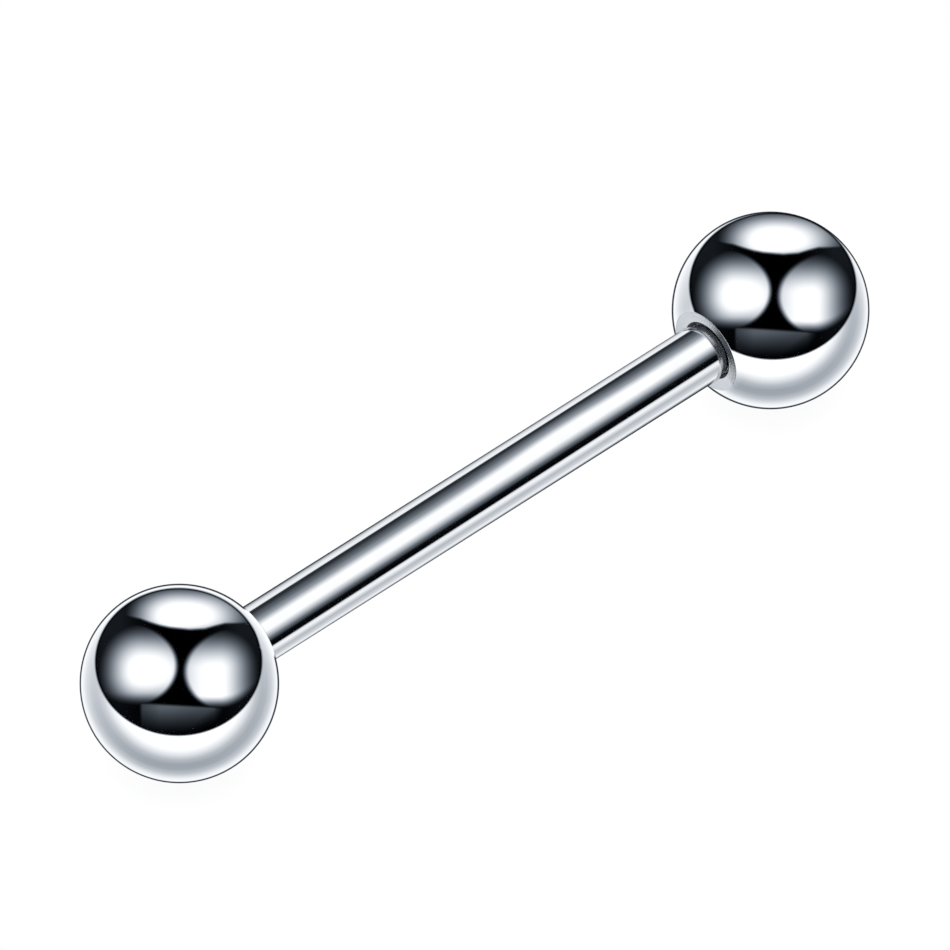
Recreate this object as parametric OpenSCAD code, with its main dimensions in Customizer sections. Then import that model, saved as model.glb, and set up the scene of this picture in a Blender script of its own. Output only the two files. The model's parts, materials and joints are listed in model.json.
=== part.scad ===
// Straight tongue barbell: a round bar with a threaded stud at each end, and a ball on each stud.
// The bar lies along X, and both balls rest on Z = 0.

/* [Bar] */
// Diameter of the bar
bar_d = 1.6; // [1.2:0.05:2]
// Length of the bar from shoulder to shoulder
bar_length = 16; // [8:0.5:30]
// Edge break round each shoulder
shoulder_break = 0.04; // [0.01:0.01:0.1]

/* [Stud] */
// Height of the shoulder above the neck, where the two meet
shoulder_step = 0.08; // [0.05:0.01:0.12]
// Length of the tapered neck between the shoulder and the thread
neck_length = 0.3; // [0.2:0.05:0.6]
// How far the neck tapers in before it meets the thread's crests
neck_taper = 0.02; // [0.01:0.01:0.04]
// Length of the thread, from the neck to the tip
thread_length = 2.45; // [1.4:0.05:2.6]
// Distance from one turn of the thread to the next
thread_pitch = 0.35; // [0.25:0.05:0.4]
// Depth of the thread
thread_depth = 0.19; // [0.1:0.01:0.22]
// Chamfer that leads in at the tip of the stud
tip_chamfer = 0.22; // [0.1:0.01:0.3]

/* [Ball] */
// Diameter of each ball
ball_d = 5.15; // [4.5:0.05:8]
// Gap that shows between the bar's shoulder and the rim of the ball's seat
shoulder_gap = 0.15; // [0.05:0.01:0.25]
// Width of the dished seat, from the mouth of the hole to its rim
seat_width = 0.32; // [0.1:0.01:0.5]
// Depth of the dish below its rim
seat_depth = 0.05; // [0.02:0.01:0.1]
// Countersink round the mouth of the hole
mouth_chamfer = 0.09; // [0.05:0.01:0.15]
// Clearance between the neck and the hole, all the way round
neck_clearance = 0.02; // [0.01:0.01:0.04]
// Room left in the hole past the tip of the stud
tip_room = 0.5; // [0.1:0.05:0.6]
// Full angle of the cone that the drill leaves at the bottom of the hole
drill_angle = 118; // [90:1:140]

/* [Hidden] */

steel = [0.82, 0.83, 0.85];
round_fn = 120;

bar_r = bar_d / 2;
neck_r = bar_r - shoulder_step;
crest_r = neck_r - neck_taper;
tip_r = crest_r - tip_chamfer;

// An end is drawn with the centre of its ball at the origin and the bar towards +Z.
ball_r = ball_d / 2;
hole_r = neck_r + neck_clearance;
mouth_r = hole_r + mouth_chamfer;
rim_r = mouth_r + seat_width;
rim_z = sqrt(ball_r ^ 2 - rim_r ^ 2);
mouth_z = rim_z - seat_depth;
shoulder_z = rim_z + shoulder_gap;
thread_z = shoulder_z - neck_length;
tip_z = thread_z - thread_length;
hole_z = tip_z - tip_room;
drill_tip = hole_r / tan(drill_angle / 2);
centre_x = bar_length / 2 + shoulder_z;

// The thread is a stack of rings of points. A pitch holds this many rings, and a ring this many points.
rings_per_pitch = 6;
thread_sides = 12;
thread_rings = round(thread_length / thread_pitch * rings_per_pitch);
// The flats on the crests and in the roots, as a share of the pitch
thread_flat = 1 / 6;
// The grooves reach their full depth this many pitches from the neck
run_out = 1;
// The neck's taper runs on this far inside the shank, so that the two are one piece
neck_root = 0.1;
root_r = neck_r + neck_taper * neck_root / neck_length;
// How far the seat's cut runs on past the top of the ball
cut_over = 0.5;

// How deep the groove is at this share of a turn, from 0 on a crest to 1 in a root
function groove(turn) =
    let (away = abs(turn - floor(turn) - 0.5))
    min(1, max(0, (away - thread_flat / 2) / (0.5 - thread_flat)));

// Radius of the thread at this depth below the neck and this share of a turn round the axis
function thread_r(depth, round) =
    min(crest_r - thread_depth * groove(depth / thread_pitch + round)
                * min(1, depth / (run_out * thread_pitch)),
        tip_r + thread_length - depth);

module shank() {
    cylinder(h = bar_length - 2 * shoulder_break, r = bar_r, center = true, $fn = round_fn);
    for (side = [0, 180])
        rotate([side, 0, 0])
            translate([0, 0, bar_length / 2 - shoulder_break])
                cylinder(h = shoulder_break, r1 = bar_r, r2 = bar_r - shoulder_break, $fn = round_fn);
}

module thread() {
    last = thread_rings * thread_sides;
    points = [
        for (ring = [0 : thread_rings], side = [0 : thread_sides - 1])
            let (depth = thread_length * ring / thread_rings,
                 r = thread_r(depth, side / thread_sides),
                 a = 360 * side / thread_sides)
            [r * cos(a), r * sin(a), -depth]
    ];
    faces = [
        [for (side = [0 : thread_sides - 1]) thread_sides - 1 - side],
        [for (side = [0 : thread_sides - 1]) last + side],
        for (ring = [0 : thread_rings - 1], side = [0 : thread_sides - 1])
            let (next = (side + 1) % thread_sides,
                 a = ring * thread_sides + side,
                 b = ring * thread_sides + next)
            each [[a, b, a + thread_sides], [b, b + thread_sides, a + thread_sides]]
    ];
    polyhedron(points, faces);
}

module stud() {
    translate([0, 0, thread_z]) {
        cylinder(h = neck_length + neck_root, r1 = crest_r, r2 = root_r, $fn = round_fn);
        thread();
    }
}

// The cut is one turned profile. Its dish runs on past the rim, clear of the ball, before it turns up.
module seat_and_hole() {
    clear_r = rim_r + seat_width;
    clear_z = rim_z + seat_depth;
    rotate_extrude($fn = round_fn)
        polygon([
            [0, hole_z - drill_tip],
            [hole_r, hole_z],
            [hole_r, mouth_z - mouth_chamfer],
            [mouth_r, mouth_z],
            [clear_r, clear_z],
            [clear_r, ball_r + cut_over],
            [0, ball_r + cut_over]
        ]);
}

// Puts an end at its ball's centre: side is -1 for the left end and 1 for the right
module at_end(side) {
    translate([side * centre_x, 0, ball_r])
        rotate([0, -side * 90, 0])
            children();
}

module bar() {
    color(steel)
        union() {
            translate([0, 0, ball_r])
                rotate([0, 90, 0])
                    shank();
            for (side = [-1, 1])
                at_end(side) stud();
        }
}

module ball(side) {
    color(steel)
        at_end(side)
            difference() {
                sphere(r = ball_r, $fn = round_fn);
                seat_and_hole();
            }
}

module ball_left() {
    ball(-1);
}

module ball_right() {
    ball(1);
}

bar();
ball_left();
ball_right();
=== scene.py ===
import json
import math
from collections import namedtuple

import bpy
from mathutils import Matrix, Vector


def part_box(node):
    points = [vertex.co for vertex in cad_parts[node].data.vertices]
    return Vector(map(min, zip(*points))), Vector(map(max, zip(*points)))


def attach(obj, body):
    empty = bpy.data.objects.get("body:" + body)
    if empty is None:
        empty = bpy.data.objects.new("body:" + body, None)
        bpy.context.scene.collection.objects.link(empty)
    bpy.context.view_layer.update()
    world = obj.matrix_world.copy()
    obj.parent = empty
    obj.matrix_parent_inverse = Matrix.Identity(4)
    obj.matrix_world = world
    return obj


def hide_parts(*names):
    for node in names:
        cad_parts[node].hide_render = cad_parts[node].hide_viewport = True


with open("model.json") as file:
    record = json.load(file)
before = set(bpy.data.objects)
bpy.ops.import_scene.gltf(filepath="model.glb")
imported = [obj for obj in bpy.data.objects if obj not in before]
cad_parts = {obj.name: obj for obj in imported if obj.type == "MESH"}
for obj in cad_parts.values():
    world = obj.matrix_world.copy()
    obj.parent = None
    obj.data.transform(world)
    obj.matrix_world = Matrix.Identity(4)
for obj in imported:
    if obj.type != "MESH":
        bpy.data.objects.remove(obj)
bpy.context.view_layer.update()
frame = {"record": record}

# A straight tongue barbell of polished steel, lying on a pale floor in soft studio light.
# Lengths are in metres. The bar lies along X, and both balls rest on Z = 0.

MM = 0.001
SHANK = frame["record"]["mounts"][0]

# Sizes of the bar and its studs. The thread's flats are a share of its pitch.
bar_r = SHANK["dims"]["r_mm"] * MM
bar_length = 16 * MM
shoulder_break = 0.04 * MM
shoulder_step = 0.08 * MM
neck_length = 0.3 * MM
neck_taper = 0.02 * MM
thread_length = 2.45 * MM
thread_pitch = 0.35 * MM
thread_depth = 0.19 * MM
thread_flat = 1 / 6
tip_chamfer = 0.22 * MM
tip_dimple = 0.03 * MM
neck_r = bar_r - shoulder_step
crest_r = neck_r - neck_taper
tip_r = crest_r - tip_chamfer

# Sizes of a ball and its tapped hole
axis_z = SHANK["pos_m"][2]
ball_r = axis_z
seat_width = 0.32 * MM
seat_depth = 0.05 * MM
mouth_chamfer = 0.09 * MM
neck_clearance = 0.02 * MM
tip_room = 0.5 * MM
drill_angle = math.radians(118)
tap_depth = 0.1 * MM
tap_length = thread_length + 0.1 * MM
hole_r = neck_r + neck_clearance
mouth_r = hole_r + mouth_chamfer
rim_r = mouth_r + seat_width
drill_tip = hole_r / math.tan(drill_angle / 2)

# Places along an end, from the centre of its ball towards the bar
centre_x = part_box("ball_right")[1].x - ball_r
shoulder_z = centre_x - bar_length / 2
rim_z = math.sqrt(ball_r ** 2 - rim_r ** 2)
mouth_z = rim_z - seat_depth
thread_z = shoulder_z - neck_length
tip_z = thread_z - thread_length
hole_z = tip_z - tip_room

# Painted shade: a dark ring on the neck, from where the thread ends, where the ball's mouth shades the gap
shade_band_start = 0.005 * MM
shade_band_hold = 0.015 * MM
shade_band_length = 0.07 * MM

# Roundings at the edges, as polishing leaves them
rim_round = 0.009 * MM
round_hold = 0.006 * MM
mouth_round = 0.02 * MM
small_round = 0.012 * MM

# How finely the pieces are turned
SIDES = 224
BALL_RINGS = 120
ROUND_STEPS = 6
RINGS_PER_PITCH = 14

# The photograph's camera, by its azimuth and its height above the floor, and where its frame lies
PHOTO_AZIMUTH = math.radians(-42.9)
PHOTO_ELEVATION = math.radians(42.74)
PHOTO_SIZE = 950
PIXELS_PER_MM = 38.6
LENS = 1700
SENSOR = 36
OBJECT_PIXEL = (476.32, 496.11)

to_camera = Vector((
    math.sin(PHOTO_AZIMUTH) * math.cos(PHOTO_ELEVATION),
    -math.cos(PHOTO_AZIMUTH) * math.cos(PHOTO_ELEVATION),
    math.sin(PHOTO_ELEVATION),
))
to_right = Vector((0, 0, 1)).cross(to_camera).normalized()
to_top = to_camera.cross(to_right)
centre = Vector((0, 0, axis_z))


def make_camera():
    """A long lens at the photograph's angle, so that both balls keep the same size in the frame."""
    pixel = MM / PIXELS_PER_MM
    frame_width = PHOTO_SIZE * pixel
    aim = centre + to_right * (PHOTO_SIZE / 2 - OBJECT_PIXEL[0]) * pixel
    aim = aim + to_top * (OBJECT_PIXEL[1] - PHOTO_SIZE / 2) * pixel
    data = bpy.data.cameras.new("camera")
    data.sensor_width = SENSOR
    data.lens = LENS
    data.clip_start = 0.01
    data.clip_end = 10
    camera = bpy.data.objects.new("camera", data)
    bpy.context.scene.collection.objects.link(camera)
    camera.rotation_mode = "QUATERNION"
    camera.location = aim + to_camera * frame_width * LENS / SENSOR
    camera.rotation_quaternion = (-to_camera).to_track_quat("-Z", "Y")
    bpy.context.scene.camera = camera


make_camera()


# Node helpers

def put(tree, socket, value):
    """Sets an input to a value, or links another node's output to it."""
    if isinstance(value, bpy.types.NodeSocket):
        tree.links.new(value, socket)
    else:
        socket.default_value = value


def math_node(tree, operation, *values):
    node = tree.nodes.new("ShaderNodeMath")
    node.operation = operation
    for socket, value in zip(node.inputs, values):
        put(tree, socket, value)
    return node.outputs[0]


def add(tree, a, b):
    return math_node(tree, "ADD", a, b)


def subtract(tree, a, b):
    return math_node(tree, "SUBTRACT", a, b)


def multiply(tree, a, b):
    return math_node(tree, "MULTIPLY", a, b)


def multiply_add(tree, a, b, c):
    return math_node(tree, "MULTIPLY_ADD", a, b, c)


def divide(tree, a, b):
    return math_node(tree, "DIVIDE", a, b)


def power(tree, a, b):
    return math_node(tree, "POWER", a, b)


def larger(tree, a, b):
    return math_node(tree, "MAXIMUM", a, b)


def product(tree, *values):
    total = values[0]
    for value in values[1:]:
        total = multiply(tree, total, value)
    return total


def distance_from_zero(tree, a, b):
    return math_node(tree, "SQRT", add(tree, power(tree, a, 2.0), power(tree, b, 2.0)))


def vector_node(tree, operation, *values, out="Vector"):
    node = tree.nodes.new("ShaderNodeVectorMath")
    node.operation = operation
    for socket, value in zip(node.inputs, values):
        put(tree, socket, value)
    return node.outputs[out]


def dot(tree, a, b):
    return vector_node(tree, "DOT_PRODUCT", a, b, out="Value")


def split(tree, vector):
    node = tree.nodes.new("ShaderNodeSeparateXYZ")
    tree.links.new(vector, node.inputs[0])
    return node.outputs


def fade(tree, value, start, end, low=0.0, high=1.0, smooth=False):
    """Goes from low to high as value goes from start to end, and stays there beyond."""
    node = tree.nodes.new("ShaderNodeMapRange")
    node.interpolation_type = "SMOOTHSTEP" if smooth else "LINEAR"
    put(tree, node.inputs["Value"], value)
    put(tree, node.inputs["From Min"], start)
    put(tree, node.inputs["From Max"], end)
    put(tree, node.inputs["To Min"], low)
    put(tree, node.inputs["To Max"], high)
    return node.outputs["Result"]


def levels(tree, value, stops):
    """A curve through (value, level) stops, with straight lines between them."""
    first = stops[0][0]
    last = stops[-1][0]
    node = tree.nodes.new("ShaderNodeValToRGB")
    ramp = node.color_ramp
    while len(ramp.elements) < len(stops):
        ramp.elements.new(0.5)
    for element, (place, level) in zip(ramp.elements, stops):
        element.position = (place - first) / (last - first)
        element.color = (level, level, level, 1)
    tree.links.new(fade(tree, value, first, last), node.inputs["Fac"])
    return node.outputs["Color"]


def blend(tree, share, low, high):
    """Low where the share is 0 and high where it is 1."""
    return multiply_add(tree, share, subtract(tree, high, low), low)


def blend_colours(tree, share, low, high):
    node = tree.nodes.new("ShaderNodeMix")
    node.data_type = "RGBA"
    put(tree, node.inputs["Factor"], share)
    put(tree, node.inputs[6], low)
    put(tree, node.inputs[7], high)
    return node.outputs[2]


def noise(tree, vector, scale, detail=2.0, roughness=0.5):
    node = tree.nodes.new("ShaderNodeTexNoise")
    put(tree, node.inputs["Vector"], vector)
    node.inputs["Scale"].default_value = scale
    node.inputs["Detail"].default_value = detail
    node.inputs["Roughness"].default_value = roughness
    return node.outputs["Fac"]


def new_group(name, inputs, outputs):
    """An empty shader group with named float inputs and outputs, and its two end nodes."""
    tree = bpy.data.node_groups.new(name, "ShaderNodeTree")
    for label, amount in inputs.items():
        socket = tree.interface.new_socket(label, in_out="INPUT", socket_type="NodeSocketFloat")
        socket.default_value = amount
    for label in outputs:
        tree.interface.new_socket(label, in_out="OUTPUT", socket_type="NodeSocketFloat")
    start = tree.nodes.new("NodeGroupInput")
    end = tree.nodes.new("NodeGroupOutput")
    return tree, start.outputs, end.inputs


def use_group(tree, group, **values):
    node = tree.nodes.new("ShaderNodeGroup")
    node.node_tree = group
    for label, amount in values.items():
        node.inputs[label.replace("_", " ")].default_value = amount
    return node.outputs


# Effects that several finishes share

# Each direction of hairlines is a turn of the noise, and how fine it is along its own axes, per metre
HAIRLINE_DIRECTIONS = (
    ((0.3, 0.2, 0.9), (1500, 60000, 60000)),
    ((-0.5, 0.7, -0.4), (60000, 1200, 60000)),
)
# Noise shows as a mark as it goes from one of these levels to the other
HAIRLINE_LEVELS = (0.62, 0.74)
HAZE_LEVELS = (0.35, 0.7)
HAZE_SCALE = 900
WAVE_SCALE = 420
WAVE_HEIGHT = 2.0
HAIRLINE_HEIGHT = -0.04
HAIRLINE_SHADE = 0.4
HAZE_SHADE = 0.6
MARK_ROUGHNESS = 0.05

# The lathe's rings are counted along the axis. On a face across the axis they are this much closer.
RINGS_ACROSS = 1.7
PATCH_SCALE = 2500
PATCH_ROUGHNESS = 0.15


def make_polish_group():
    """What a polishing wheel leaves: hairlines in two directions, a patchy haze and soft waviness."""
    tree, given, made = new_group(
        "polishing",
        {"Hairlines": 0.5, "Haze": 0.5, "Base roughness": 0.05},
        ("Height", "Roughness", "Shade"),
    )
    place = tree.nodes.new("ShaderNodeTexCoord").outputs["Object"]
    lines = 0.0
    for turn, fineness in HAIRLINE_DIRECTIONS:
        mapping = tree.nodes.new("ShaderNodeMapping")
        tree.links.new(place, mapping.inputs["Vector"])
        mapping.inputs["Rotation"].default_value = turn
        mapping.inputs["Scale"].default_value = fineness
        line = fade(tree, noise(tree, mapping.outputs["Vector"], 1.0, detail=1.0), *HAIRLINE_LEVELS)
        lines = larger(tree, lines, line)
    lines = multiply(tree, lines, given["Hairlines"])
    haze = noise(tree, place, HAZE_SCALE, detail=5.0, roughness=0.6)
    haze = multiply(tree, fade(tree, haze, *HAZE_LEVELS, smooth=True), given["Haze"])
    waves = noise(tree, place, WAVE_SCALE, detail=1.0)
    put(tree, made["Height"], multiply_add(tree, waves, WAVE_HEIGHT, multiply(tree, lines, HAIRLINE_HEIGHT)))
    marks = add(tree, lines, haze)
    put(tree, made["Roughness"], multiply_add(tree, marks, MARK_ROUGHNESS, given["Base roughness"]))
    put(tree, made["Shade"], multiply_add(tree, haze, HAZE_SHADE, multiply(tree, lines, HAIRLINE_SHADE)))
    return tree


def make_turning_group():
    """What the lathe tool leaves: fine rings round the barbell's axis, uneven in depth."""
    tree, given, made = new_group(
        "turning",
        {"Rings per metre": 30000, "Base roughness": 0.2},
        ("Height", "Roughness", "Shade"),
    )
    place = tree.nodes.new("ShaderNodeTexCoord").outputs["Object"]
    place = vector_node(tree, "SUBTRACT", place, centre)
    parts = split(tree, place)
    off_axis = distance_from_zero(tree, parts["Y"], parts["Z"])
    along = multiply_add(tree, off_axis, RINGS_ACROSS, math_node(tree, "ABSOLUTE", parts["X"]))
    line = tree.nodes.new("ShaderNodeTexNoise")
    line.noise_dimensions = "1D"
    tree.links.new(multiply(tree, along, given["Rings per metre"]), line.inputs["W"])
    line.inputs["Scale"].default_value = 1.0
    line.inputs["Detail"].default_value = 3.0
    patches = noise(tree, place, PATCH_SCALE, detail=4.0)
    put(tree, made["Height"], line.outputs["Fac"])
    put(tree, made["Roughness"], multiply_add(tree, patches, PATCH_ROUGHNESS, given["Base roughness"]))
    put(tree, made["Shade"], multiply(tree, line.outputs["Fac"], patches))
    return tree


polish_group = make_polish_group()
turning_group = make_turning_group()


def steel(name, clean, dull, depth, group, **values):
    """A bare steel whose tint, roughness and relief all come from one of the groups.
    Depth is that of the relief."""
    material = bpy.data.materials.new(name)
    material.use_nodes = True
    tree = material.node_tree
    shader = tree.nodes["Principled BSDF"]
    shader.inputs["Metallic"].default_value = 1.0
    marks = use_group(tree, group, **values)
    tree.links.new(blend_colours(tree, marks["Shade"], clean, dull), shader.inputs["Base Color"])
    tree.links.new(marks["Roughness"], shader.inputs["Roughness"])
    bump = tree.nodes.new("ShaderNodeBump")
    bump.inputs["Distance"].default_value = depth
    tree.links.new(marks["Height"], bump.inputs["Height"])
    tree.links.new(bump.outputs["Normal"], shader.inputs["Normal"])
    return material


BRIGHT = (0.93, 0.94, 0.95, 1)
DULL = (0.82, 0.84, 0.87, 1)
GREY = (0.62, 0.64, 0.67, 1)
# Painted shade: the dark colours of the gap between the neck and the ball's hole
GAP_SHADE_COLOUR = (0.10, 0.105, 0.115, 1)
GAP_SHADE_DEEP = (0.03, 0.032, 0.036, 1)

# Depths of the relief
POLISHED = 1e-6
TURNED = 1.5e-6
# Relief of the dark painted-shade steel in the gap
GAP_SHADE_RELIEF = 2e-6
CUT = 3e-6

ball_polish = steel(
    "ball_mirror_polish", BRIGHT, DULL, POLISHED, polish_group, Hairlines=0.3, Haze=0.3, Base_roughness=0.03)
bar_polish = steel(
    "bar_mirror_polish", BRIGHT, DULL, POLISHED, polish_group, Hairlines=0.5, Haze=0.5, Base_roughness=0.05)
turned_seat = steel(
    "turned_seat", DULL, GREY, TURNED, turning_group, Rings_per_metre=45000, Base_roughness=0.08)
turned_neck = steel(
    "turned_neck", DULL, GREY, TURNED, turning_group, Rings_per_metre=30000, Base_roughness=0.2)
# Painted shade: dark steel on the neck's root and the hole's mouth chamfer, where the gap is in shade
polishing_residue = steel(
    "polishing_residue", GAP_SHADE_COLOUR, GAP_SHADE_DEEP, GAP_SHADE_RELIEF, turning_group,
    Rings_per_metre=20000, Base_roughness=0.3)
cut_thread = steel(
    "cut_thread", DULL, GREY, CUT, turning_group, Rings_per_metre=25000, Base_roughness=0.22)
tapped_hole = steel(
    "tapped_hole", DULL, GREY, CUT, turning_group, Rings_per_metre=25000, Base_roughness=0.28)


# Turned outlines: a band is a material and its (radius, depth) points, and bands follow one another

def rounded(corners):
    """The corners, each (radius, depth, rounding), with every rounding drawn as a short curve.
    A point held just outside each end of the curve keeps the faces beside it flat."""
    points = []
    for i, (r, z, size) in enumerate(corners):
        here = Vector((r, z))
        if not size:
            points.append(here)
            continue
        before = (Vector(corners[i - 1][:2]) - here).normalized()
        after = (Vector(corners[i + 1][:2]) - here).normalized()
        points.append(here + before * (size + round_hold))
        for step in range(ROUND_STEPS + 1):
            t = step / ROUND_STEPS
            points.append(here + before * size * (1 - t) ** 2 + after * size * t ** 2)
        points.append(here + after * (size + round_hold))
    return [(p.x, p.y) for p in points]


def groove(turn):
    """How deep the thread's groove is at this share of a turn, from 0 on a crest to 1 in a root."""
    away = abs(turn - math.floor(turn) - 0.5)
    return min(1, max(0, (away - thread_flat / 2) / (0.5 - thread_flat)))


def stud_r(depth, turn):
    """The stud's radius at this depth below its neck and this share of a turn. The tip is chamfered."""
    full = min(1, depth / thread_pitch)
    threaded = crest_r - thread_depth * groove(depth / thread_pitch + turn) * full
    return min(threaded, tip_r + thread_length - depth)


def tap_r(depth, turn):
    """The tapped hole's radius, where the groove runs out at both ends."""
    full = min(1, max(0, depth / thread_pitch), max(0, (tap_length - depth) / thread_pitch))
    return hole_r + tap_depth * (1 - groove(depth / thread_pitch + turn)) * full


def thread_points(radius_at, length):
    """Points down the thread from the neck, with the radius left as a function of the share of a turn."""
    count = round(length / thread_pitch * RINGS_PER_PITCH)
    for i in range(count + 1):
        depth = length * i / count
        yield (lambda turn, depth=depth: radius_at(depth, turn)), thread_z - depth


def mesh_object(name, vertices, faces, *materials):
    mesh = bpy.data.meshes.new(name)
    mesh.from_pydata(vertices, [], faces)
    for material in materials:
        mesh.materials.append(material)
    thing = bpy.data.objects.new(name, mesh)
    bpy.context.scene.collection.objects.link(thing)
    return thing


def turned_piece(name, bands, place):
    """A closed mesh turned round local Z. A point's radius may be a function of the share of a turn."""
    materials = list(dict.fromkeys(material for material, _ in bands))
    rings, finish = [], []
    for material, points in bands:
        for point in points:
            if rings and point == rings[-1]:
                continue
            if rings:
                finish.append(materials.index(material))
            rings.append(point)
    vertices, starts = [], []
    for r, z in rings:
        starts.append(len(vertices))
        if r == 0:
            vertices.append(place @ Vector((0, 0, z)))
            continue
        for side in range(SIDES):
            turn = side / SIDES
            radius = r(turn) if callable(r) else r
            angle = 2 * math.pi * turn
            vertices.append(place @ Vector((radius * math.cos(angle), radius * math.sin(angle), z)))
    faces, face_finish = [], []
    for i, index in enumerate(finish):
        a, b = starts[i], starts[i + 1]
        for side in range(SIDES):
            after = (side + 1) % SIDES
            if rings[i][0] == 0:
                faces.append((a, b + side, b + after))
            elif rings[i + 1][0] == 0:
                faces.append((b, a + after, a + side))
            else:
                faces.append((a + side, b + side, b + after, a + after))
            face_finish.append(index)
    piece = mesh_object(name, vertices, faces, *materials)
    mesh = piece.data
    mesh.polygons.foreach_set("material_index", face_finish)
    mesh.polygons.foreach_set("use_smooth", [True] * len(faces))
    mesh.validate()
    mesh.update()
    return piece


def end_frame(side):
    """Local Z runs from the ball's centre towards the bar. Side is -1 for the left end, 1 for the right."""
    return Matrix.Translation((side * centre_x, 0, axis_z)) @ Matrix.Rotation(-side * math.pi / 2, 4, "Y")


def stud_bands():
    """From the tip of a stud up to the shank, with depths from the ball's centre."""
    tip = [(0, tip_z + tip_dimple), (tip_r * 0.45, tip_z + tip_dimple * 0.2), (tip_r * 0.6, tip_z)]
    thread = list(thread_points(stud_r, thread_length))[::-1]
    root_end = (crest_r + (neck_r - crest_r) * shade_band_length / neck_length, thread_z + shade_band_length, 0)
    root = rounded([
        (crest_r, thread_z + shade_band_start, 0),
        (crest_r, thread_z + shade_band_hold, 0),
        root_end,
    ])
    neck = rounded([
        root_end,
        (neck_r, shoulder_z, small_round),
        (bar_r - shoulder_break, shoulder_z, small_round),
        (bar_r, shoulder_z + shoulder_break, small_round),
        (bar_r, shoulder_z + shoulder_break * 2, 0),
    ])
    return tip, thread, root, neck


def make_bar():
    """One length of wire: a stud, the shank and a stud, turned as one outline along X."""
    tip, thread, root, neck = stud_bands()

    def turned_over(r):
        """The same radius seen from the other end, where the turn runs the other way round."""
        return (lambda turn: r(0.5 - turn)) if callable(r) else r

    def left(points):
        return [(r, z - centre_x) for r, z in points]

    def right(points):
        return [(turned_over(r), centre_x - z) for r, z in points][::-1]

    # The dark band at each root is painted shade, where the ball's mouth shades the neck
    bands = [
        (turned_neck, left(tip)),
        (cut_thread, left(thread)),
        (polishing_residue, left(root)),
        (turned_neck, left(neck)),
        (bar_polish, right(neck)[:1]),
        (turned_neck, right(neck)),
        (polishing_residue, right(root)),
        (cut_thread, right(thread)),
        (turned_neck, right(tip)),
    ]
    along_x = Matrix.Translation(centre) @ Matrix.Rotation(math.pi / 2, 4, "Y")
    return turned_piece("steel_bar", bands, along_x)


def make_ball(name, side):
    """A ball from its far pole to its seat's rim, then the seat, the tapped hole and its drilled end."""
    # The sphere stops just short of the points that the rim's rounding holds
    last_angle = math.pi - math.asin(rim_r / ball_r) - (rim_round + 3 * round_hold) / ball_r
    angles = [last_angle * i / BALL_RINGS for i in range(BALL_RINGS + 1)]
    sphere = [(ball_r * math.sin(angle), -ball_r * math.cos(angle)) for angle in angles]
    edge = rounded([
        (*sphere[-1], 0),
        (rim_r, rim_z, rim_round),
        (mouth_r, mouth_z, mouth_round),
        (hole_r, mouth_z - mouth_chamfer, small_round),
        (hole_r, thread_z, 0),
    ])
    # The finish changes in the middle of a rounding, which has this many points
    rounding = ROUND_STEPS + 3
    rim = 1 + rounding // 2
    mouth = rim + rounding
    tapped = list(thread_points(tap_r, tap_length))
    drilled = [(hole_r * share, hole_z - drill_tip * (1 - share)) for share in (1, 0.98, 0.5, 0)]
    bands = [
        (ball_polish, sphere + edge[1:rim]),
        (turned_seat, edge[rim:mouth]),
        # The mouth's chamfer is painted dark, as painted shade inside the hole
        (polishing_residue, edge[mouth:]),
        (tapped_hole, tapped + drilled),
    ]
    return turned_piece(name, bands, end_frame(side))


bar = make_bar()
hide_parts("bar")
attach(bar, "bar")

balls = []
for node, side in (("ball_left", -1), ("ball_right", 1)):
    ball = make_ball("steel_" + node, side)
    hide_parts(node)
    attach(ball, node)
    balls.append(ball)


# The floor, the light tents, the cards and the background

WHITE = (1.0, 1.0, 1.0, 1)
BLACK = (0.0, 0.0, 0.0, 1)
COOL = (0.60, 0.77, 1.0, 1)
FLOOR_SHADE = (0.5, 0.52, 0.55, 1)

FLOOR_HALF = 3.0
SHADE_REACH = 0.8 * MM
SHADE_DEPTH = 0.1

# Strength of the tents' light, and how much of it is left once it has been mirrored twice
BALL_GAIN = 1.2
BAR_GAIN = 1.1
SECOND_MIRRORING = 0.8

# The balls' shells of light are so far off that each seems to lie at infinity, and don't coincide
LEFT_TENT_R = 1.0
RIGHT_TENT_R = 1.2
BAR_TENT_R = 14 * MM
BAR_TENT_HALF = 26 * MM

# The cards in front of the balls, seen only by rays longer than this
CARD_R = ball_r * 1.05
CARD_Z = rim_z + 0.26 * MM
CARD_FROM = 10 * MM


def stage_material(name):
    """An empty material with a glow, and the socket that its surface goes to."""
    material = bpy.data.materials.new(name)
    material.use_nodes = True
    material.cycles.emission_sampling = "NONE"
    tree = material.node_tree
    tree.nodes.clear()
    glow = tree.nodes.new("ShaderNodeEmission")
    output = tree.nodes.new("ShaderNodeOutputMaterial")
    return material, tree, glow, output.inputs["Surface"]


def make_floor():
    """A plain pale floor, with only a faint soft shade close under what stands on it."""
    material, tree, glow, surface = stage_material("pale_floor")
    near = tree.nodes.new("ShaderNodeAmbientOcclusion")
    near.inputs["Distance"].default_value = SHADE_REACH
    open_share = fade(tree, near.outputs["AO"], 0.0, 0.9, low=1 - SHADE_DEPTH, high=1.0)
    tree.links.new(blend_colours(tree, open_share, FLOOR_SHADE, WHITE), glow.inputs["Color"])
    tree.links.new(glow.outputs[0], surface)
    corners = [(x * FLOOR_HALF, y * FLOOR_HALF, 0) for x, y in ((-1, -1), (1, -1), (1, 1), (-1, 1))]
    floor = mesh_object("floor", corners, [(0, 1, 2, 3)], material)
    floor.visible_glossy = False


def only_mirrored(thing):
    """Leaves a stage object to mirrored rays alone."""
    for ray in ("camera", "diffuse", "transmission", "shadow", "volume_scatter"):
        setattr(thing, "visible_" + ray, False)


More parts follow.
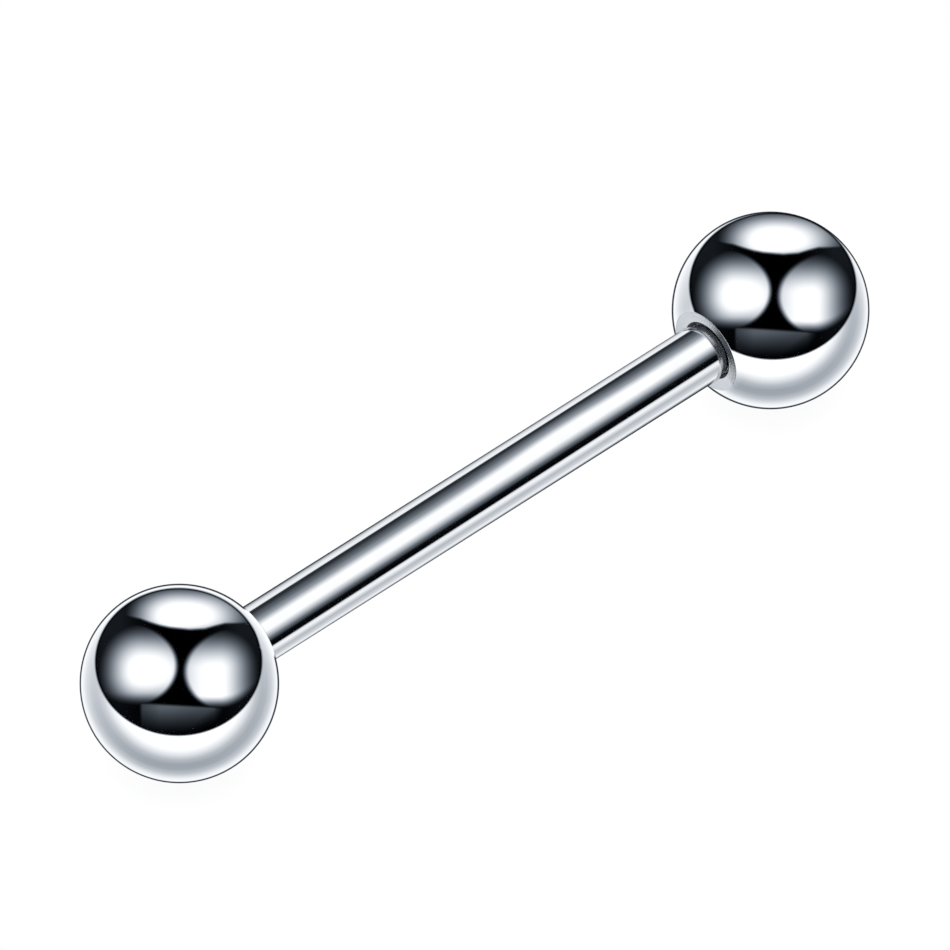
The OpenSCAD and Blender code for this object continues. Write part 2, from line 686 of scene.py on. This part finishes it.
def tent_glow(tree, glow, place, brightness_in, gain):
    """Sets a glow to a tent's light from this place, measured from the middle of the tent."""
    brightness = brightness_in(tree, place)
    whiteness = power(tree, brightness, 0.5)
    tree.links.new(blend_colours(tree, whiteness, COOL, WHITE), glow.inputs["Color"])
    mirrored = tree.nodes.new("ShaderNodeLightPath").outputs["Glossy Depth"]
    strength = fade(tree, mirrored, 1.0, 2.0, low=gain, high=gain * SECOND_MIRRORING)
    tree.links.new(multiply(tree, brightness, strength), glow.inputs["Strength"])


def make_tent(name, shell, piece, body, brightness_in, gain):
    """A shell of light that only this piece sees, and that moves with it. Other rays pass through."""
    material, tree, glow, surface = stage_material(name)
    place = tree.nodes.new("ShaderNodeTexCoord").outputs["Object"]
    tent_glow(tree, glow, vector_node(tree, "SUBTRACT", place, centre), brightness_in, gain)
    both = tree.nodes.new("ShaderNodeAddShader")
    tree.links.new(glow.outputs[0], both.inputs[0])
    tree.links.new(tree.nodes.new("ShaderNodeBsdfTransparent").outputs[0], both.inputs[1])
    tree.links.new(both.outputs[0], surface)
    vertices, faces = shell
    tent = mesh_object(name, vertices, faces, material)
    only_mirrored(tent)
    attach(tent, body)
    group = bpy.data.collections.new(name + "_lights")
    group.objects.link(piece)
    tent.light_linking.receiver_collection = group


def make_card(side, body, brightness_in, gain):
    """A card in front of the ball on this side, that shows the other ball what its own tent would.
    The photograph doesn't show one ball mirrored in the other. The ball behind the card sees through it."""
    name = "card_%d" % side
    material, tree, glow, surface = stage_material(name)
    # Where the other ball mirrors the card for the camera
    other = Vector((-side * centre_x, 0, axis_z))
    mirroring = other + (Vector((side, 0, 0)) + to_camera).normalized() * ball_r
    place = tree.nodes.new("ShaderNodeNewGeometry").outputs["Position"]
    tent_glow(tree, glow, vector_node(tree, "SUBTRACT", place, mirroring), brightness_in, gain)
    length = tree.nodes.new("ShaderNodeLightPath").outputs["Ray Length"]
    mix = tree.nodes.new("ShaderNodeMixShader")
    tree.links.new(fade(tree, length, CARD_FROM, CARD_FROM * 1.01), mix.inputs[0])
    tree.links.new(tree.nodes.new("ShaderNodeBsdfTransparent").outputs[0], mix.inputs[1])
    tree.links.new(glow.outputs[0], mix.inputs[2])
    tree.links.new(mix.outputs[0], surface)
    card = turned_piece(name, [(material, [(0, CARD_Z), (CARD_R, CARD_Z)])], end_frame(side))
    only_mirrored(card)
    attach(card, body)


# The studio round a ball is laid out by where each part of it shows on the ball at the photograph's angle.
# Across and up go from -1 to 1 over the ball. An outline has a middle, and reaches so far to each side.
# It is an ellipse at a power of 2, and squarer above that. Its effect is full within its core, which is
# that share of its size.
Outline = namedtuple("Outline", "across up left right below above power core")


def circle(across, up, r, core=1.0):
    return Outline(across, up, left=r, right=r, below=r, above=r, power=2.0, core=core)


# The dark room, and the soft boxes in it: one behind the barbell, and two in front, each cut off on its
# inner side by a round flag
ROOM = Outline(-0.009, 0.217, left=0.84, right=0.84, below=0.74, above=0.74, power=2.0, core=0.99)
TOP_BOX = Outline(0.01, 0.665, left=0.67, right=0.90, below=0.26, above=0.39, power=2.2, core=0.26)
LEFT_BOX = Outline(-0.365, 0.12, left=0.53, right=0.975, below=0.49, above=0.555, power=2.25, core=0.17)
LEFT_FLAG = Outline(-0.64, 0.175, left=0.645, right=0.645, below=0.47, above=0.47, power=2.0, core=0.89)
RIGHT_BOX = Outline(0.375, 0.115, left=1.06, right=0.515, below=4.4, above=0.535, power=2.4, core=0.04)
RIGHT_FLAG = Outline(0.855, 0.115, left=0.845, right=0.845, below=0.53, above=0.53, power=2.0, core=0.9)

# The wavy lower edge of the box behind the barbell: how far up it lies, from left to right
TOP_BOX_EDGE = (
    (-0.65, 0.680), (-0.50, 0.655), (-0.40, 0.640), (-0.30, 0.605), (-0.20, 0.575), (-0.10, 0.555),
    (0.00, 0.545), (0.10, 0.535), (0.25, 0.545), (0.35, 0.575), (0.45, 0.600), (0.75, 0.600),
)

# The brightness of the white table round the room, by how far out from this height it shows
TABLE_MIDDLE = 0.02
TABLE_RINGS = (
    (0.62, 1.0), (0.685, 0.91), (0.735, 0.70), (0.78, 0.475), (0.83, 0.36), (0.875, 0.375),
    (0.925, 0.525), (0.97, 0.80), (1.02, 0.95),
)

# Light falls off towards a soft box's edge by this power of how far in it is
GLOW_POWER = 2.2

# A thin dark outline shows from here out to the ball's edge, as the light goes from straight to glancing
OUTLINE_FROM = 0.980
OUTLINE_FULL = 0.986
OUTLINE_DARKNESS = 0.95
GLANCING = (0.26, 0.22)

# The way the bar runs in the picture, and the way square to it
bar_ahead = (Vector((1, 0, 0)) - to_camera * to_camera.x).normalized()
bar_aside = to_camera.cross(bar_ahead)

# The bar behind a ball fills the outline this far aside, where the outline lies ahead
BAR_BEHIND = (0.28, 0.31)
BAR_AHEAD = (0.5, 0.0)

# Where the seat shows on the right ball. The table's grey is fainter round it, from its middle out.
SEAT_MIDDLE = (-0.72, -0.46)
SEAT_SURROUNDINGS = circle(*SEAT_MIDDLE, 0.5)
GREY_BY_SEAT = ((0.0, 0.8), (0.25, 0.8), (0.35, 0.35), (0.4, 0.35), (1.0, 1.0))

# The near side of the seat faces the neck, and mirrors its dark side and its highlight. Light leaves it
# nearly along the ball's surface.
SEAT_SHADE = circle(*SEAT_MIDDLE, 0.4, core=0.9)
SEAT_GLANCING = (0.32, 0.28)
NECK_MIRRORED = (
    (-0.15, 1.0), (-0.11, 1.0), (-0.085, 0.9), (-0.05, 0.03), (0.0, 0.1), (0.04, 0.12), (0.07, 0.02),
    (0.125, 0.02), (0.14, 0.7), (0.155, 1.0),
)

# The room shows shifted this far across and up on each ball, and spread out this many times
LEFT_SHIFT = (0.003, 0.002)
LEFT_SPREAD = 1.0
RIGHT_SHIFT = (0.030, 0.026)
RIGHT_SPREAD = 1.007


def reach(tree, across, up, outline):
    """0 at the middle of an outline and 1 on it."""
    dx = subtract(tree, across, outline.across)
    dy = subtract(tree, up, outline.up)
    wide = larger(tree, divide(tree, dx, outline.right), divide(tree, dx, -outline.left))
    high = larger(tree, divide(tree, dy, outline.above), divide(tree, dy, -outline.below))
    total = add(tree, power(tree, wide, outline.power), power(tree, high, outline.power))
    return power(tree, total, 1 / outline.power)


def room_light(tree, across, up):
    """The soft boxes and the walls of the dark room."""

    def glow(outline):
        return fade(tree, reach(tree, across, up, outline), 1.0, outline.core, smooth=True)

    over_edge = subtract(tree, up, levels(tree, across, TOP_BOX_EDGE))
    top = product(tree, glow(TOP_BOX), fade(tree, over_edge, -0.016, 0.016))
    # The left box fades out towards the table
    left = product(tree, glow(LEFT_BOX), glow(LEFT_FLAG), fade(tree, up, -0.28, -0.08, smooth=True))
    # The right box stands on a sill that rises to the right
    right_of_sill = larger(tree, subtract(tree, across, 0.4), 0.0)
    over_sill = subtract(tree, up, product(tree, right_of_sill, right_of_sill, 1.2))
    on_sill = fade(tree, over_sill, -0.275, -0.115, smooth=True)
    right = product(tree, glow(RIGHT_BOX), glow(RIGHT_FLAG), on_sill)
    # Dim panel low in front, whose brightness is the last line's
    panel = product(
        tree,
        # Slanting top edge, and fading towards the table
        fade(tree, multiply_add(tree, across, 0.06, up), -0.205, -0.235),
        fade(tree, up, -0.53, -0.25),
        # Left edge, dimmer beside it
        fade(tree, across, -0.41, -0.37),
        fade(tree, across, -0.45, -0.2, low=0.55, high=1.0),
        # Right edge, and the corner below it cut off
        fade(tree, across, 0.5, 0.34),
        fade(tree, multiply_add(tree, up, -1.2, across), 0.94, 0.62),
        fade(tree, across, -0.1, 0.3, low=0.37, high=0.30),
    )
    # The walls are a little lighter than the middle of the room, and lighter still higher up
    light = product(
        tree,
        fade(tree, math_node(tree, "ABSOLUTE", across), 0.15, 0.6, high=0.085),
        fade(tree, up, 0.1, 0.5, low=1.0, high=1.5),
    )
    for box in (top, left, right, panel):
        light = larger(tree, light, box)
    return power(tree, light, GLOW_POWER)


def table_light(tree, across, up, near_seat):
    """The white table with its grey ring, which is fainter towards the top and a little deeper on the right.
    Near the seat shows how near it is to the seat's middle, or is None where no seat shows."""
    out = distance_from_zero(tree, across, subtract(tree, up, TABLE_MIDDLE))
    on_right = product(tree, fade(tree, across, 0.0, 0.7, high=0.15), fade(tree, up, -0.75, -0.1))
    depth = add(tree, fade(tree, up, -0.8, 0.9, low=1.0, high=0.3), on_right)
    grey = multiply(tree, subtract(tree, 1.0, levels(tree, out, TABLE_RINGS)), depth)
    if near_seat is not None:
        grey = multiply(tree, grey, levels(tree, near_seat, GREY_BY_SEAT))
    return subtract(tree, 1.0, grey)


def facing_at(out):
    """How much the ball's surface faces the camera, this far out from the middle of the ball."""
    return math.sqrt(1 - out ** 2)


def outline_light(tree, half, straight, before_bar):
    """Dark at the very edge of the ball and 1 elsewhere. It is a dark card behind the ball, which shows
    only at a glancing angle. On a ball before the bar it is left out where the bar shines behind it."""
    facing = dot(tree, half, to_camera)
    dark = fade(tree, facing, facing_at(OUTLINE_FROM), facing_at(OUTLINE_FULL))
    dark = multiply(tree, dark, fade(tree, straight, *GLANCING))
    if before_bar:
        aside = math_node(tree, "ABSOLUTE", dot(tree, half, bar_aside))
        ahead = dot(tree, half, bar_ahead)
        clear = larger(tree, fade(tree, aside, *BAR_BEHIND), fade(tree, ahead, *BAR_AHEAD))
        dark = multiply(tree, dark, clear)
    return multiply_add(tree, dark, -OUTLINE_DARKNESS, 1.0)


def ball_light(side, shift, spread):
    """The studio round the ball on this side: a dark room with soft boxes, on a white table.
    The left ball stands before the bar, and on the right one the seat shows."""
    before_bar = side < 0

    def brightness(tree, place):
        toward = vector_node(tree, "NORMALIZE", place)
        half = vector_node(tree, "NORMALIZE", vector_node(tree, "ADD", toward, to_camera))
        across = dot(tree, half, to_right)
        up = dot(tree, half, to_top)
        room_across = divide(tree, subtract(tree, across, shift[0]), spread)
        room_up = divide(tree, subtract(tree, up, shift[1]), spread)
        # 1 for a ray that left the ball straight out, and 0 for a longer one that left along its surface
        from_middle = vector_node(tree, "DISTANCE", place, Vector((side * centre_x, 0, 0)), out="Value")
        length = tree.nodes.new("ShaderNodeLightPath").outputs["Ray Length"]
        straight = multiply(tree, subtract(tree, from_middle, length), 1 / ball_r)

        near_seat = None if before_bar else reach(tree, room_across, room_up, SEAT_SURROUNDINGS)
        table = table_light(tree, across, up, near_seat)
        table = multiply(tree, table, outline_light(tree, half, straight, before_bar))
        if not before_bar:
            within = fade(tree, reach(tree, room_across, room_up, SEAT_SHADE), 1.0, SEAT_SHADE.core)
            in_seat = multiply(tree, within, fade(tree, straight, *SEAT_GLANCING))
            neck = levels(tree, dot(tree, half, bar_aside), NECK_MIRRORED)
            table = multiply(tree, table, blend(tree, in_seat, 1.0, neck))

        # A thin dark edge is left between the room's light and the table
        wall = reach(tree, room_across, room_up, ROOM)
        inside = fade(tree, wall, 1.01, ROOM.core)
        lit = fade(tree, wall, 0.985, 0.965)
        room = product(tree, room_light(tree, room_across, room_up), lit, inside)
        return add(tree, room, multiply(tree, subtract(tree, 1.0, inside), table))

    return brightness


# The brightness of the strips of light along the bar, by their angle in degrees round it. The angle is 0
# straight behind the bar and 90 above it. The list starts and ends low behind the bar.
BAR_STRIPS = (
    # Dark below the wall behind
    (-52, 0.02), (-27, 0.04),
    # White wall behind, and the dark gap over it
    (-4, 0.68), (12, 0.88), (23, 0.88), (27, 0.03), (38, 0.03),
    # Soft box overhead, brightest at its front
    (62, 0.16), (79, 0.36), (95, 0.86), (100, 1.0), (128, 0.97), (140, 0.62), (155, 0.17),
    # Dark room in front
    (168, 0.005), (187, 0.0),
    # White table in front and below, with the bar's own shade on it
    (191, 0.75), (199, 0.94), (220, 0.51), (240, 0.66), (259, 0.92), (270, 0.45), (281, 0.05), (308, 0.02),
)

# The strips turn round the bar by this many degrees for each millimetre along it, out to this many
STRIP_SLANT = 0.95
SLANT_HALF = 12.0

# The box overhead bulges by this many degrees, at this place along the bar and over this width, both in mm.
# It does so between these angles, which fade in and out.
BULGE = 9.0
BULGE_PLACE = 2.3
BULGE_WIDTH = 1.9
BULGE_START = (30.0, 50.0)
BULGE_END = (110.0, 90.0)

# What the bar mirrors lies this far towards +X, since the camera stands towards -X
MIRRORED_AHEAD = -BAR_TENT_R * to_camera.x / math.sqrt(1 - to_camera.x ** 2)


def bar_light(tree, place):
    """The light of the strips round the bar. The place is measured from the middle of the bar."""
    parts = split(tree, place)
    seen_mm = multiply(tree, subtract(tree, parts["X"], MIRRORED_AHEAD), 1 / MM)
    seen_mm = fade(tree, seen_mm, -SLANT_HALF, SLANT_HALF, low=-SLANT_HALF, high=SLANT_HALF)
    angle = multiply(tree, math_node(tree, "ARCTAN2", parts["Z"], parts["Y"]), 180 / math.pi)
    angle = math_node(tree, "WRAP", angle, BAR_STRIPS[-1][0], BAR_STRIPS[0][0])
    away = divide(tree, subtract(tree, seen_mm, BULGE_PLACE), BULGE_WIDTH)
    bulge = math_node(tree, "EXPONENT", multiply(tree, power(tree, away, 2.0), -1.0))
    overhead = multiply(tree, fade(tree, angle, *BULGE_START), fade(tree, angle, *BULGE_END))
    bulge = product(tree, bulge, BULGE, overhead)
    turned = add(tree, multiply(tree, seen_mm, STRIP_SLANT), bulge)
    return levels(tree, add(tree, angle, turned), BAR_STRIPS)


def sphere_shell(radius, rings=32, sides=64):
    """A sphere round the middle of the bar, from its top to its bottom."""
    vertices = [(0, 0, axis_z + radius)]
    for i in range(1, rings):
        tilt = math.pi * i / rings
        r = radius * math.sin(tilt)
        z = axis_z + radius * math.cos(tilt)
        for j in range(sides):
            turn = 2 * math.pi * j / sides
            vertices.append((r * math.cos(turn), r * math.sin(turn), z))
    vertices.append((0, 0, axis_z - radius))
    bottom = len(vertices) - 1
    faces = []
    for j in range(sides):
        after = (j + 1) % sides
        faces.append((0, 1 + j, 1 + after))
        for i in range(rings - 2):
            a = 1 + i * sides
            faces.append((a + j, a + sides + j, a + sides + after, a + after))
        faces.append((bottom, bottom - sides + after, bottom - sides + j))
    return vertices, faces


def tube_shell(radius, half_length, sides=96):
    """An open tube along the bar."""
    vertices = []
    for x in (-half_length, half_length):
        for j in range(sides):
            turn = 2 * math.pi * j / sides
            vertices.append((x, radius * math.cos(turn), axis_z + radius * math.sin(turn)))
    faces = [(j, (j + 1) % sides, sides + (j + 1) % sides, sides + j) for j in range(sides)]
    return vertices, faces


def make_background():
    """White behind everything for the camera, and black for the steel, which sees the tents instead."""
    world = bpy.data.worlds.new("background")
    bpy.context.scene.world = world
    world.use_nodes = True
    tree = world.node_tree
    mirrored = tree.nodes.new("ShaderNodeLightPath").outputs["Is Glossy Ray"]
    colour = blend_colours(tree, mirrored, WHITE, BLACK)
    tree.links.new(colour, tree.nodes["Background"].inputs["Color"])


make_floor()
left_light = ball_light(-1, LEFT_SHIFT, LEFT_SPREAD)
right_light = ball_light(1, RIGHT_SHIFT, RIGHT_SPREAD)
make_tent("left_ball_tent", sphere_shell(LEFT_TENT_R), balls[0], "ball_left", left_light, BALL_GAIN)
make_tent("right_ball_tent", sphere_shell(RIGHT_TENT_R), balls[1], "ball_right", right_light, BALL_GAIN)
make_tent("bar_tent", tube_shell(BAR_TENT_R, BAR_TENT_HALF), bar, "bar", bar_light, BAR_GAIN)
make_card(1, "ball_right", left_light, BALL_GAIN)
make_card(-1, "ball_left", right_light, BALL_GAIN)
# The photograph shows no bar mirrored in the balls
bar.visible_glossy = False
make_background()
bpy.context.scene.view_settings.view_transform = "Standard"
